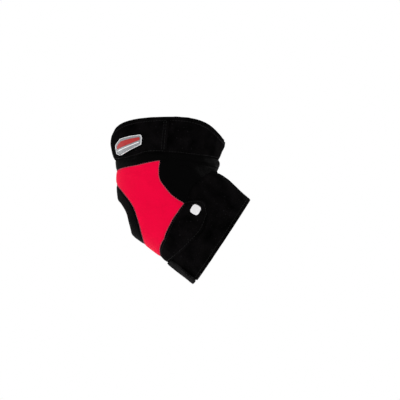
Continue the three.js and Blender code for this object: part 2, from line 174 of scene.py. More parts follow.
# %% Folds in the bend
# Centre x and z, slope in degrees, half length, half width, height in mm.
FOLDS = [
    (32.0, 13.0, -12, 15.0, 7.5, 3.2),
    (28.0, 20.3, -6, 16.0, 3.6, -1.7),
    (40.0, 10.6, 40, 15.0, 4.0, -1.8),
    (57.0, 9.0, -38, 14.0, 8.0, 1.2),
    (49.0, 34.0, 78, 9.0, 1.8, 0.6),
    (54.0, 33.0, 76, 8.0, 1.6, 0.6),
]


def side(spots):
    """Places in percent, as metres along X and Z."""
    return np.asarray(spots, float) / 100 * (ARM_WIDTH, BRACE_HEIGHT)


# Slow waves of worn cloth: wave length along X, Y and Z and height, in mm.
WAVES = [(31, 47, 23, 0.22), (17, 29, 41, 0.16), (13, 19, 11, 0.07)]


def fold_height(points):
    """How far folds and waves lift the cloth at each point."""
    height = np.zeros(points.shape[:-1])
    for number, (along_x, along_y, along_z, high) in enumerate(WAVES):
        phase = points @ (2 * math.pi / (np.array([along_x, along_y, along_z]) * MM))
        height += high * MM * np.sin(phase + number)
    for x, z, slope, long, wide, high in FOLDS:
        centre = side((x, z))
        tilt = math.radians(slope)
        dx = points[..., 0] - centre[0]
        dz = points[..., 2] - centre[1]
        along = (dx * math.cos(tilt) + dz * math.sin(tilt)) / (long * MM)
        across = (dz * math.cos(tilt) - dx * math.sin(tilt)) / (wide * MM)
        height += high * MM * np.exp(-along ** 2 - across ** 2)
    return height


print("folds:", len(FOLDS), "waves:", len(WAVES))

# %% [markdown]
# Seams are drawn where the photograph shows them, in the side view. To sew along them, each
# place is turned into the sleeve's own two numbers: how far round it lies, and at which section.

# %% Find places on the sleeve
HALVINGS = 40


def locate(spot):
    """Turn and station of a place in the side view, on the near side."""
    x, z = side(spot)
    low, high = 0.0, float(LAST)
    for _ in range(HALVINGS):
        middle = (low + high) / 2
        bx, bz, fx, fz, _depth = section(middle)
        if (fx - bx) * (z - bz) - (fz - bz) * (x - bx) < 0:
            low = middle
        else:
            high = middle
    share = ((x - bx) * (fx - bx) + (z - bz) * (fz - bz)) / ((fx - bx) ** 2 + (fz - bz) ** 2)
    return math.acos(1 - 2 * min(max(share, 0), 1)), (low + high) / 2


def loop(spots):
    """A seam that runs all the way round, as a function from turn to station, the same on both sides."""
    known = np.array([locate(spot) for spot in spots])
    known[0, 0] = 0
    known[-1, 0] = math.pi

    def station(turn):
        wrapped = np.abs(np.arctan2(np.sin(turn), np.cos(turn)))
        i = np.clip(np.searchsorted(known[:, 0], wrapped, side="right") - 1, 0, len(known) - 2)
        t = (wrapped - known[i, 0]) / (known[i + 1, 0] - known[i, 0])
        before = known[np.abs(i - 1), 1]
        after = known[np.minimum(i + 2, 2 * (len(known) - 1) - i - 2), 1]
        return smooth(before, known[i, 1], known[i + 1, 1], after, t)

    return station


def seam(spots):
    """A seam between two ends, as a function from its share of the way to turn and station."""
    known = np.array([locate(spot) for spot in spots])
    padded = np.vstack([2 * known[0] - known[1], known, 2 * known[-1] - known[-2]])

    def place(share):
        reach = np.clip(np.asarray(share, float), 0, 1) * (len(known) - 1)
        i = np.clip(np.floor(reach), 0, len(known) - 2).astype(int)
        near = [padded[i + k] for k in range(4)]
        return smooth(*near, (reach - i)[..., None])

    return place


BAND_SEAM = [
    (-48.6, 16.3), (-39.5, 18.1), (-26.7, 19.5), (-14.0, 21.2), (-4.5, 22.1),
    (7.0, 23.0), (19.0, 23.1), (31.0, 21.7), (43.0, 19.3), (53.4, 17.6),
]
STRAP_EDGE = [
    (-49.0, 22.7), (-41.0, 23.1), (-33.0, 24.1), (-16.4, 27.0), (0.0, 27.1),
    (25.0, 25.6), (44.5, 24.3), (53.6, 23.1),
]
CUFF_SEAM = [
    (-4.2, -35.4), (-0.8, -24.5), (5.1, -16.0), (12.9, -8.4), (19.3, -3.1),
    (23.6, 1.8), (27.5, 5.8), (36.0, 10.8), (46.5, 15.2), (52.8, 15.6),
]
RED_FRONT = [
    (-4.5, 22.1), (-5.7, 16.9), (-4.6, 10.8), (-0.7, 7.2), (6.5, 2.1), (13.4, -1.0), (19.3, -3.1),
]
STRAP_LOW_EDGE = [
    (3.0, -38.4), (18.6, -31.0), (27.7, -25.6), (34.0, -21.7), (38.6, -17.3), (42.3, -10.8), (42.0, -6.0),
]
STRAP_LOW_FRONT = (83.0, 3.0)
STRAP_END = [
    (19.3, -3.1), (23.0, -1.5), (29.0, -1.1), (36.0, -1.5), (40.2, -3.3), (42.0, -6.0),
]

band_seam = loop(BAND_SEAM)
strap_edge = loop(STRAP_EDGE)
cuff_seam = loop(CUFF_SEAM)
strap_low = loop(STRAP_LOW_EDGE + [STRAP_LOW_FRONT])
red_front = seam(RED_FRONT)

# How softly the rim turns at back and front, how steeply it falls there, and how fast one slope
# gives way to the other.
RIM_DIP = 0.3
RIM_BACK = 0.7
RIM_FRONT = 1.46
RIM_SWITCH = 4


def rim(turn):
    """Station of the rim: high at the two sides, dipped at back and front."""
    share = (np.hypot(np.sin(turn), RIM_DIP) - RIM_DIP) / (math.hypot(1, RIM_DIP) - RIM_DIP)
    fall = RIM_BACK + (RIM_FRONT - RIM_BACK) * (1 - np.tanh(RIM_SWITCH * np.cos(turn))) / 2
    return 1 - share ** fall


print("red panel's tip in turns and stations:", np.round(red_front(1.0), 2))

# %% [markdown]
# A panel could be drawn vertex by vertex. It is quicker to add a flat grid, count its rows and
# columns, and lay it on the sleeve. Each vertex also keeps its distance along the cloth as a UV,
# so that knit and pile later follow the panel.

# %% Lay a grid on the sleeve
def walked(points):
    """Distances from the first point, along a line or down every column of a grid."""
    steps = np.linalg.norm(np.diff(points, axis=0), axis=-1)
    return np.concatenate([np.zeros_like(steps[:1]), np.cumsum(steps, axis=0)])


def edge_reach(points, ring):
    """Distance of each vertex from the nearest cut edge, measured on the cloth."""
    down = walked(points)
    reach = np.minimum(down, down[-1] - down)
    if not ring:
        over = walked(points.transpose(1, 0, 2)).T
        reach = np.minimum(reach, np.minimum(over, over[:, -1:] - over))
    return reach


def cloth_uv(points):
    """Distances over and down the cloth, in metres."""
    down = walked(points)
    over = np.broadcast_to(walked(points[len(points) // 2]), down.shape)
    return np.stack([over, down], axis=-1)


def add_grid(name, rows, cols):
    """A flat grid as the start of a piece, with its vertices in reading order."""
    deselect()
    bpy.ops.mesh.primitive_grid_add(x_subdivisions=cols - 1, y_subdivisions=rows - 1, size=1)
    piece = bpy.context.active_object
    piece.name = name
    piece.data.name = name
    flat = np.empty(len(piece.data.vertices) * 3)
    piece.data.vertices.foreach_get("co", flat)
    flat = flat.reshape(-1, 3)
    order = np.lexsort((flat[:, 0].round(5), -flat[:, 1].round(5)))
    return piece, order


ROLL = 0.7 * MM
ROLL_WIDTH = 1.5 * MM
DIP_WIDTH = 0.8 * MM


def lay(name, spots, height, ring=False, roll=ROLL):
    """Lays a grid piece on the sleeve at a height, its cut edges rolled down."""
    turn, station = spots[..., 0], spots[..., 1]
    rows, cols = turn.shape
    flat = plain_point(turn, station)
    reach = edge_reach(flat, ring)
    lift = height + fold_height(flat) - roll * np.exp(-(reach / ROLL_WIDTH) ** 2)
    points = flat + plain_normal(turn, station) * lift[..., None]
    piece, order = add_grid(name, rows, cols)
    coordinates = np.empty((rows * cols, 3))
    coordinates[order] = points.reshape(-1, 3)
    piece.data.vertices.foreach_set("co", coordinates.ravel())
    uvs = np.empty((rows * cols, 2))
    uvs[order] = cloth_uv(points).reshape(-1, 2)
    corner = np.empty(len(piece.data.loops), int)
    piece.data.loops.foreach_get("vertex_index", corner)
    piece.data.uv_layers[0].uv.foreach_set("vector", uvs[corner].ravel())
    outward = np.empty((rows * cols, 3))
    outward[order] = plain_normal(turn, station).reshape(-1, 3)
    if (np.array(piece.data.polygons[0].normal) @ outward[piece.data.polygons[0].vertices[0]]) < 0:
        piece.data.flip_normals()
    return piece


print("edge rolled down by", round(1000 * ROLL, 1), "mm over", round(1000 * ROLL_WIDTH, 1), "mm")

# %% [markdown]
# A grid is as thin as paper. Real neoprene is three millimetres of foam between two knit faces,
# so Solidify gives it its wall, growing inwards from the face that was laid. Where a ring closes
# on itself its two ends are first merged, so that no slit stays.

# %% Give cloth its thickness
MERGE = 0.02 * MM
SMOOTH_ANGLE = math.radians(50)


def use(piece):
    """Selects one piece, and nothing else."""
    deselect()
    piece.select_set(True)
    bpy.context.view_layer.objects.active = piece


def edit_all(piece, operator, **settings):
    """Runs an operator on the whole mesh of a piece."""
    use(piece)
    bpy.ops.object.mode_set(mode="EDIT")
    bpy.ops.mesh.select_all(action="SELECT")
    operator(**settings)
    bpy.ops.object.mode_set(mode="OBJECT")


def merge_ends(piece):
    edit_all(piece, bpy.ops.mesh.remove_doubles, threshold=MERGE)


def face_outwards(piece):
    edit_all(piece, bpy.ops.mesh.normals_make_consistent, inside=False)


def thicken(piece, wall, ring=False):
    """Gives a laid grid its wall, inwards."""
    if ring:
        merge_ends(piece)
    solidify = piece.modifiers.new("wall", "SOLIDIFY")
    solidify.thickness = wall
    solidify.offset = -1
    use(piece)
    bpy.ops.object.modifier_apply(modifier=solidify.name)
    bpy.ops.object.shade_smooth_by_angle(angle=SMOOTH_ANGLE)


def finish_piece(piece, *nodes, slot, finish=None):
    """Sets where a piece rides, what it replaces and its finish, which is its slot's if none is named."""
    piece.data.materials.clear()
    piece.data.materials.append(FINISHES[finish or slot])
    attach(piece, "root")
    if nodes:
        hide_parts(*nodes)


print("sleeve and strap walls in mm:", round(1000 * SLEEVE_WALL, 1), round(1000 * STRAP_WALL, 1))

# %% [markdown]
# Shader maths reads best as sums. This small class wraps a socket, so that adding, multiplying
# or subtracting two of them adds the Math node that does it.

# %% Sums of sockets
class Value:
    """A socket that Python's operators work on."""

    def __init__(self, tree, socket):
        self.tree = tree
        self.socket = socket

    def reckon(self, operation, *inputs):
        node = self.tree.nodes.new("ShaderNodeMath")
        node.operation = operation
        for port, value in zip(node.inputs, inputs):
            feed(self.tree, port, value)
        return Value(self.tree, node.outputs[0])

    def __add__(self, other):
        return self.reckon("ADD", self, other)

    def __radd__(self, other):
        return self.reckon("ADD", other, self)

    def __sub__(self, other):
        return self.reckon("SUBTRACT", self, other)

    def __rsub__(self, other):
        return self.reckon("SUBTRACT", other, self)

    def __mul__(self, other):
        return self.reckon("MULTIPLY", self, other)

    def __rmul__(self, other):
        return self.reckon("MULTIPLY", other, self)

    def sine(self):
        return self.reckon("SINE", self)

    def size(self):
        return self.reckon("ABSOLUTE", self)

    def part(self):
        """What is left after the whole number."""
        return self.reckon("FRACT", self)

    def above(self, limit):
        """How far it rises over a limit, and zero below it."""
        return self.reckon("MAXIMUM", self - limit, 0)


def feed(tree, port, value):
    """Gives a socket a link or a plain number or colour."""
    if isinstance(value, Value):
        tree.links.new(value.socket, port)
    else:
        port.default_value = value


print("operators on sockets:", [name for name in vars(Value) if name.startswith("__r")])

# %% [markdown]
# Every other node comes from one method: it takes the node's type, its settings and what goes
# into its sockets. The same class serves a material and, at the end, the light of the room.

# %% Nodes of a finish
class Finish:
    """The nodes of a material or of the world."""

    def __init__(self, owner, shader="Principled BSDF"):
        owner.use_nodes = True
        self.owner = owner
        self.tree = owner.node_tree
        self.shader = self.tree.nodes[shader]

    def node(self, kind, settings=None, inputs=None, output=0):
        node = self.tree.nodes.new(kind)
        for key, value in (settings or {}).items():
            setattr(node, key, value)
        for key, value in (inputs or {}).items():
            feed(self.tree, node.inputs[key], value)
        return Value(self.tree, node.outputs[output])

    def set(self, **values):
        for key, value in values.items():
            feed(self.tree, self.shader.inputs[key.replace("_", " ")], value)

    def cloth_place(self):
        """Distances over and down the cloth, in metres."""
        return self.node("ShaderNodeUVMap", {"uv_map": "UVMap"})

    def axis(self, place, number):
        return self.node("ShaderNodeSeparateXYZ", None, {0: place}, output=number)

    def noise(self, place, scale, detail):
        return self.node("ShaderNodeTexNoise", None, {"Vector": place, "Scale": scale, "Detail": detail})

    def mix(self, share, low, high):
        """A colour between two, by a share from 0 to 1."""
        return self.node("ShaderNodeMix", {"data_type": "RGBA"}, {0: share, 6: low, 7: high}, output=2)

    def bump(self, height, distance, strength):
        inputs = {"Height": height, "Distance": distance, "Strength": strength}
        return self.node("ShaderNodeBump", None, inputs)


print("ways to add nodes:", [name for name in vars(Finish) if not name.startswith("_")])

# %% [markdown]
# The panels are faced with a fine jersey knit: rows of tiny V shapes. A picture of knit could be
# wrapped round them, but a few sums draw it at its true pitch on every panel. The knit is very
# dark or very red, with a soft silky gleam where it folds.

# %% Knit finish
KNIT_PITCH = 0.9 * MM
KNIT_RELIEF = 0.12 * MM
MOTTLE_SCALE = 90.0
KNIT_SPREAD = 0.12


def knit(name, low, high, sheen, roughness, specular):
    """A knit face. Slant is 0.5 at most, so each stitch's height falls to nothing at its sides."""
    finish = Finish(bpy.data.materials.new(name))
    place = finish.cloth_place()
    over = finish.axis(place, 0) * (1 / KNIT_PITCH)
    down = finish.axis(place, 1) * (1 / KNIT_PITCH)
    slant = (over.part() - 0.5).size()
    stitch = ((down + slant) * (2 * math.pi)).sine() * 0.5 + 0.5
    height = stitch * (1 - 8 * slant * slant * slant)
    mottle = finish.noise(place, MOTTLE_SCALE, 3.0)
    # Stitch tops get the lighter colour and the grooves between them the darker: painted shade in the knit,
    # mixed half and half with a random mottled tone.
    finish.set(Base_Color=finish.mix(height * 0.5 + mottle * 0.5, low, high))
    finish.set(Roughness=mottle * KNIT_SPREAD + (roughness - KNIT_SPREAD / 2))
    finish.set(Sheen_Weight=sheen, Sheen_Roughness=0.3, Specular_IOR_Level=specular)
    finish.set(Normal=finish.bump(height, KNIT_RELIEF, 0.6))
    return finish.owner


BLACK = (0.0003, 0.0003, 0.0003, 1)
SOFT_BLACK = (0.0012, 0.0011, 0.0012, 1)
RED = (0.69, 0.0005, 0.036, 1)
DEEP_RED = (0.54, 0.0003, 0.025, 1)
FINISHES = {
    "black_neoprene": knit("black_neoprene", BLACK, SOFT_BLACK, 0.002, 0.55, 0.010),
    "red_neoprene": knit("red_neoprene", DEEP_RED, RED, 0.07, 0.85, 0.03),
}
print("knit finishes:", ", ".join(FINISHES))

# %% [markdown]
# The straps and the forearm cuff have a brushed face of loops that the hooks stick to. It looks
# like short dark fur: fine fibre, small tufts, worn patches, and here and there a speck of lint.
# The flap under the forearm gets a paler copy of this finish: a painted highlight for the light that falls
# on it from below.

# %% Loop finish
LOOP_BLACK = (0.0002, 0.0002, 0.0002, 1)
LOOP_GREY = (0.0045, 0.0038, 0.0042, 1)
LINT = (0.014, 0.013, 0.014, 1)
PILE_RELIEF = 0.4 * MM
FIBRE_SCALE = 1400.0
TUFT_SCALE = 900.0
LINT_SCALE, LINT_FROM, LINT_GAIN = 520.0, 0.68, 6
PATCH_SCALE, PATCH_FROM, PATCH_GAIN = 70.0, 0.3, 5


def pile(name, low, high):
    """A brushed face. Patches and lint show where their noise rises over a limit."""
    finish = Finish(bpy.data.materials.new(name))
    place = finish.cloth_place()
    fibre = finish.noise(place, FIBRE_SCALE, 4.0)
    patches = finish.noise(place, PATCH_SCALE, 3.0).above(PATCH_FROM) * PATCH_GAIN
    lint = finish.noise(place, LINT_SCALE, 1.0).above(LINT_FROM) * LINT_GAIN
    tuft = finish.node("ShaderNodeTexVoronoi", None, {"Vector": place, "Scale": TUFT_SCALE})
    cloth_colour = finish.mix(fibre * fibre * patches, low, high)
    finish.set(Base_Color=finish.mix(lint, cloth_colour, LINT))
    finish.set(Roughness=0.95, Sheen_Weight=0.002, Sheen_Roughness=0.5, Specular_IOR_Level=0.01)
    finish.set(Normal=finish.bump(fibre * 0.6 + tuft * 0.4, PILE_RELIEF, 0.8))
    return finish.owner


# A paler copy of the loop finish for the flap: a painted highlight, not a different cloth.
FLAP_HIGHLIGHT_BLACK = (0.003, 0.003, 0.003, 1)
FLAP_HIGHLIGHT_GREY = (0.022, 0.021, 0.022, 1)
FINISHES["loop_cloth"] = pile("loop_cloth", LOOP_BLACK, LOOP_GREY)
FINISHES["flap_cloth_painted_highlight"] = pile("flap_cloth_painted_highlight", FLAP_HIGHLIGHT_BLACK, FLAP_HIGHLIGHT_GREY)
print("nodes in the loop finish:", len(FINISHES["loop_cloth"].node_tree.nodes))

# %% [markdown]
# The badge is moulded rubber with a silver border, the mark a thick white print, and the thread
# a twisted yarn. All three get a light grain and an uneven tone, so that they don't look like
# glass.

# %% Moulded finishes and thread
GRAIN = 0.04 * MM
GRAIN_SCALE = 1800.0
WEAR_SCALE = 260.0
WEAR_SHADE = 0.8
WEAR_SPREAD = 0.2


def moulded(name, colour, roughness, metallic=0.0, specular=0.5):
    """A grained finish whose tone and gloss change a little from place to place."""
    finish = Finish(bpy.data.materials.new(name))
    place = finish.node("ShaderNodeTexCoord", output=3)
    worn = finish.noise(place, WEAR_SCALE, 3.0)
    darker = tuple(WEAR_SHADE * part for part in colour[:3]) + (1,)
    finish.set(Base_Color=finish.mix(worn, darker, colour))
    finish.set(Roughness=worn * WEAR_SPREAD + (roughness - WEAR_SPREAD / 2))
    finish.set(Metallic=metallic, Specular_IOR_Level=specular)
    finish.set(Normal=finish.bump(finish.noise(place, GRAIN_SCALE, 2.0), GRAIN, 0.5))
    return finish.owner


FINISHES.update({
    "badge_grey": moulded("badge_grey", (0.20, 0.205, 0.215, 1), 0.5),
    "badge_silver": moulded("badge_silver", (0.84, 0.84, 0.85, 1), 0.35, 0.2),
    "badge_red": moulded("badge_red", (0.34, 0.02, 0.02, 1), 0.55, specular=0.2),
    "white_print": moulded("white_print", (0.66, 0.65, 0.66, 1), 0.6, specular=0.2),
    "red_thread": moulded("red_thread", (0.32, 0.09, 0.13, 1), 0.8, specular=0.1),
    "hem_thread": moulded("hem_thread", (0.005, 0.0048, 0.005, 1), 0.6, specular=0.12),
    "seam_thread": moulded("seam_thread", (0.0015, 0.0014, 0.0015, 1), 0.8, specular=0.03),
})
print("finishes:", ", ".join(FINISHES))

# %% [markdown]
# Bands go all the way round the arm. Rows are crowded towards both cut edges, because that is
# where the cloth rolls over, and spread out in the middle, where it only curves gently.

# %% Grids for bands and patches
CROWDING = 0.85


def crowded(count):
    """Shares from 0 to 1, closer together near both ends."""
    even = np.linspace(0, 1, count)
    return even - CROWDING * np.sin(2 * math.pi * even) / (2 * math.pi)


def band(upper, lower, rows, cols, first=-math.pi, last=math.pi, open_ends=False):
    """A grid between two seams that run round the arm."""
    over = crowded(cols) if open_ends else np.linspace(0, 1, cols)
    turn = first + (last - first) * over
    share = crowded(rows)[:, None]
    station = upper(turn) + (lower(turn) - upper(turn)) * share
    return np.stack([np.broadcast_to(turn, station.shape), station], axis=-1)


def patch(top, low, left, right, rows, cols, fade=1):
    """A grid between four seams, as functions of their shares.

    With a high fade the bend of an end seam is felt only near that end.
    """
    down = crowded(rows)[:, None, None]
    over = crowded(cols)[None, :, None]
    straight = top(over[0, :, 0])[None] * (1 - down) + low(over[0, :, 0])[None] * down
    left_bend = left(down[:, 0, 0])[:, None] - straight[:, :1]
    right_bend = right(down[:, 0, 0])[:, None] - straight[:, -1:]
    return straight + left_bend * (1 - over) ** fade + right_bend * over ** fade


def clear(seam_line, gap):
    """The same seam, moved along the sleeve by a number of stations."""
    return lambda turn: seam_line(turn) + gap


print("first rows of a band, in shares:", np.round(crowded(48)[:4], 4))

# %% [markdown]
# ## Cloth as sheets
#
# Each panel was cut flat and a little smaller than it is now, because the sleeve stretches when
# it is worn. The flat size is measured from the laid grid, less that stretch. Hems are named by
# their edge, and each leaves a dent in the cloth and a line for its stitches.

# %% Make a cloth piece
WORN_STRETCH = 1.05
HEM_INSET = 2.4 * MM
EDGE_INSET = 1.4 * MM
HEM_DEPTH = 0.3 * MM
HEM_LINES = []


def from_edge(grid, edge):
    """The same grid with the named edge as its first row."""
    turned = grid.transpose(1, 0, *range(2, grid.ndim))
    return {"top": grid, "low": grid[::-1], "left": turned, "right": turned[::-1]}[edge]


def reach_from(spots, edge):
    """Distance of every spot from one edge, measured along the cloth."""
    reach = walked(from_edge(plain_point(spots[..., 0], spots[..., 1]), edge))
    if edge == "low":
        return reach[::-1]
    if edge == "right":
        return reach[::-1].T
    return reach if edge == "top" else reach.T


def hem_line(spots, height, edge, away, ring):
    """Spots and heights along a line at a distance from one edge."""
    full = from_edge(np.dstack([spots, height]), edge)
    reach = from_edge(reach_from(spots, edge), edge)
    line = np.array([
        [np.interp(away, reach[:, c], full[:, c, k]) for k in range(3)] for c in range(full.shape[1])])
    if not ring:
        along = walked(plain_point(line[:, 0], line[:, 1]))
        line = line[(along > HEM_INSET) & (along < along[-1] - HEM_INSET)]
    return line[:, :2], line[:, 2]


def cloth(name, spots, height, wall, slot, replaced, ring=False, hems=(), pressed=(), finish=None):
    """Lays, hems, thickens and finishes one piece of cloth, and prints its cut size.

    A hem is an edge and a distance from it. A pressed edge has a depth and a width.
    """
    dented = np.broadcast_to(height, spots.shape[:2]).copy()
    for edge, depth, width in pressed:
        dented -= depth * np.exp(-(reach_from(spots, edge) / width) ** 2)
    for edge, away in hems:
        dented -= HEM_DEPTH * np.exp(-((reach_from(spots, edge) - away) / DIP_WIDTH) ** 2)
    for edge, away in hems:
        HEM_LINES.append(hem_line(spots, dented, edge, away, ring))
    piece = lay(name, spots, dented, ring=ring)
    points = plain_point(spots[..., 0], spots[..., 1])
    down = walked(points)[-1].max()
    over = walked(points.transpose(1, 0, 2))[-1].max()
    laid = sum(face.area for face in piece.data.polygons)
    thicken(piece, wall, ring=ring)
    finish_piece(piece, replaced, slot=slot, finish=finish)
    width, length = over / WORN_STRETCH, down / WORN_STRETCH
    area = min(laid / WORN_STRETCH ** 2, width * length)
    cut = [round(1000 * width), round(1000 * length), round(1e4 * area)]
    print(name, "cut in mm, mm and cm2:", cut)


print("hems lie in mm from the edge:", round(1000 * HEM_INSET, 1), round(1000 * EDGE_INSET, 1))

# %% [markdown]
# ## The upper band
#
# The black band holds the sleeve on the upper arm. Only its rim and its lowest centimetre show,
# because the strap covers the rest.

# %% Upper band
band_grid = band(rim, band_seam, rows=48, cols=260)
cloth("upper_band_cloth", band_grid, 0.0, SLEEVE_WALL, "black_neoprene", "upper_band", ring=True)

# %% [markdown]
# ## The opening at the elbow
#
# The opening is cut square to a line through the point of the elbow, so from the side it looks
# straight. A place on its edge is found by sliding along the sleeve until it lies over the oval.

# %% Ovals round the opening
OPENING_TOP = side((-47.0, -1.4))
OPENING_LOW = side((-33.0, -21.3))
OPENING_MIDDLE = (OPENING_TOP + OPENING_LOW) / 2
OPENING_DOWN = (OPENING_LOW - OPENING_TOP) / np.linalg.norm(OPENING_LOW - OPENING_TOP)
HOLE_LENGTH = 36 * MM
HOLE_WIDTH = 37 * MM
RING_LENGTH = 66 * MM
RING_SPAN = 58.5 * MM


def oval(angle, length, width):
    """Turn and station round the opening: angle 0 is its top, positive is the near side."""
    down = -length / 2 * np.cos(angle)
    over = width / 2 * np.sin(angle)
    low = np.zeros_like(angle)
    high = np.full_like(angle, LAST)
    for _ in range(HALVINGS):
        middle = (low + high) / 2
        turn = np.arcsin(np.clip(over / section(middle)[..., 4], -1, 1))
        point = plain_point(turn, middle)[..., [0, 2]]
        short = (point - OPENING_MIDDLE) @ OPENING_DOWN < down
        low = np.where(short, middle, low)
        high = np.where(short, high, middle)
    return np.stack([turn, middle], axis=-1)


CORNER_ANGLE = math.radians(52)
TIP_ANGLE = math.radians(96)
TOP_STEPS, FRONT_STEPS, LOW_STEPS = 40, 44, 50
half_angles = np.concatenate([
    np.linspace(0, CORNER_ANGLE, TOP_STEPS, endpoint=False),
    np.linspace(CORNER_ANGLE, TIP_ANGLE, FRONT_STEPS, endpoint=False),
    np.linspace(TIP_ANGLE, math.pi, LOW_STEPS + 1),
])
ring_angles = np.concatenate([half_angles, -half_angles[-2::-1]])
print("columns round the opening:", len(ring_angles))

# %% [markdown]
# ## The red panel
#
# One piece of red neoprene wraps from one side round the back to the other. Its grid runs from
# the ring's seam outwards to its own cut edge, so every line of it meets a seam squarely.

# %% Red panel
corner_turn, tip_turn = red_front(0.0)[0], red_front(1.0)[0]


def panel_edge():
    """The red panel's outline: its near half, then the same mirrored."""
    top = np.linspace(0, corner_turn, TOP_STEPS, endpoint=False)
    low = np.linspace(tip_turn, 0, LOW_STEPS + 1)
    half = np.concatenate([
        np.stack([top, band_seam(top)], axis=-1),
        red_front(np.linspace(0, 1, FRONT_STEPS, endpoint=False)),
        np.stack([low, cuff_seam(low)], axis=-1),
    ])
    return np.concatenate([half, half[-2::-1] * (-1, 1)])


def between(inner, outer, rows):
    """A grid from one closed line out to another."""
    share = crowded(rows)[:, None, None]
    return inner[None] * (1 - share) + outer[None] * share


ring_edge = oval(ring_angles, RING_LENGTH, RING_SPAN)
panel_outline = panel_edge()
panel_grid = between(ring_edge, panel_outline, rows=60)
cloth("side_panel_cloth", panel_grid, 0.0, SLEEVE_WALL, "red_neoprene", "side_panel", ring=True)

# %% [markdown]
# ## The elbow ring
#
# A ring of black neoprene borders the opening. Its free edge is turned in and stitched down.

# %% Elbow ring
RING_HEM = 3.2 * MM
hole_edge = oval(ring_angles, HOLE_LENGTH, HOLE_WIDTH)
ring_grid = between(hole_edge, ring_edge, rows=34)
cloth(
    "elbow_ring_cloth", ring_grid, 0.0, SLEEVE_WALL, "black_neoprene", "elbow_ring",
    ring=True, hems=[("top", RING_HEM)],
)

# %% [markdown]
# ## The crease panels
#
# A black stretch panel fills the bend on each side. The far one is the near one's mirror image,
# so only the sign of its turn changes.

# %% Crease panels
def part_of(line, first, last):
    """Part of a seam that runs round the arm, as a function of its share."""
    def place(share):
        turn = first + (last - first) * np.asarray(share)
        return np.stack([turn, line(turn)], axis=-1)
    return place


def front_line(share):
    """The middle of the crease, from the band down to the cuff."""
    share = np.asarray(share)
    top, low = band_seam(math.pi), cuff_seam(math.pi)
    return np.stack([np.full_like(share, math.pi), top + (low - top) * share], axis=-1)


crease_grid = patch(
    part_of(band_seam, corner_turn, math.pi), part_of(cuff_seam, tip_turn, math.pi),
    red_front, front_line, rows=64, cols=84,
)
for name, sign in (("near", 1), ("far", -1)):
    node = f"crease_panel_{name}"
    cloth(node + "_cloth", crease_grid * (sign, 1), 0.0, SLEEVE_WALL, "black_neoprene", node)

# %% [markdown]
# ## The forearm cuff
#
# The cuff is cut straight at the hand's end. From the side that edge is one straight line.

# %% Forearm cuff
def cuff_end(turn):
    return np.full_like(turn, LAST)


CUFF_HEM = 3.6 * MM
cuff_grid = band(cuff_seam, cuff_end, rows=80, cols=260)
cloth(
    "forearm_cuff_cloth", cuff_grid, 0.0, SLEEVE_WALL, "loop_cloth", "forearm_cuff",
    ring=True, hems=[("low", CUFF_HEM)],
)

# %% [markdown]
# ## The upper strap
#
# The strap starts on the near side, runs round the front, the far side and the back, and its
# free end climbs over its own start, where hook and loop hold it. The free end is sewn twice.

# %% Upper strap
CLIMB_CLEARANCE = 1 * MM
CLIMB_LENGTH = 8 * MM
STRAP_DROP = 2 * MM
STRAP_FREE_END = (3.0, 35.0)
BADGE_CORNERS = [
    (-40.8, 35.6), (-32.0, 37.0), (-21.7, 37.7), (-20.9, 36.2),
    (-21.6, 31.9), (-40.6, 25.6), (-43.9, 26.6), (-45.1, 31.8),
]
STRAP_FACE = LAYER_GAP + STRAP_WALL

per_radian = SLEEVE_DEPTH / 2
badge_end = max(locate(spot)[0] for spot in BADGE_CORNERS)
climb_start = 2 * math.pi + badge_end + CLIMB_CLEARANCE / per_radian
climb_end = climb_start + CLIMB_LENGTH / per_radian
strap_start = climb_end - 2 * math.pi + LAYER_GAP / per_radian
strap_last = 2 * math.pi + locate(STRAP_FREE_END)[0]
rim_rise = (SECTIONS[0, 1] - SECTIONS[1, 1]) / 100 * BRACE_HEIGHT
strap_top = clear(rim, STRAP_DROP / rim_rise)


def climb(turn):
    """Height gained by the free end, so that it lies over the strap's own start."""
    share = np.clip((turn - climb_start) / (climb_end - climb_start), 0, 1)
    return share * share * (3 - 2 * share) * (STRAP_WALL + LAYER_GAP)


strap_grid = band(
    strap_top, strap_edge, rows=48, cols=380, first=strap_start, last=strap_last, open_ends=True,
)
cloth(
    "upper_strap_cloth", strap_grid, STRAP_FACE + climb(strap_grid[..., 0]), STRAP_WALL,
    "loop_cloth", "upper_strap",
    hems=[("top", HEM_INSET), ("low", EDGE_INSET), ("right", HEM_INSET), ("right", 2 * HEM_INSET)],
    pressed=[("top", 0.7 * MM, 3 * MM), ("low", 1.1 * MM, 6 * MM)],
)

# %% [markdown]
# ## The forearm strap
#
# This strap hugs the seam of the red panel. Its free end on the near side is rounded.

# %% Forearm strap
low_turn = locate(STRAP_LOW_EDGE[-1])[0]
strap_upper_line = part_of(cuff_seam, -tip_turn, tip_turn)
strap_lower_line = part_of(strap_low, -low_turn, low_turn)


def far_end(share):
    """The strap's other end, cut straight."""
    first, last = strap_upper_line(0.0), strap_lower_line(0.0)
    return first + (last - first) * np.asarray(share)[..., None]


STRAP_END_FADE = 8
forearm_grid = patch(
    strap_upper_line, strap_lower_line, far_end, seam(STRAP_END), rows=48, cols=220,
    fade=STRAP_END_FADE,
)
cloth(
    "forearm_strap_cloth", forearm_grid, STRAP_FACE, STRAP_WALL, "loop_cloth", "forearm_strap",
    hems=[(edge, HEM_INSET) for edge in ("top", "low", "left", "right")],
    pressed=[("top", 2.4 * MM, 8 * MM), ("low", 0.6 * MM, 4 * MM)],
)

# %% [markdown]
# ## The flap under the forearm
#
# A short flap is sewn in beneath the strap and lifts a little towards its free end.

# %% Under flap
FLAP_WIDTH = 36 * MM
FLAP_LIFT = 3.2 * MM
FLAP_SETBACK = 2.6 * MM
FLAP_CORNER = 7 * MM
SEAM_GAP = 0.3 * MM
FLAP_ROWS = 40
last_length = np.linalg.norm(ROWS[LAST, :2] - ROWS[LAST - 1, :2])
flap_reach = FLAP_WIDTH / SLEEVE_DEPTH
flap_first = clear(strap_low, SEAM_GAP / last_length)


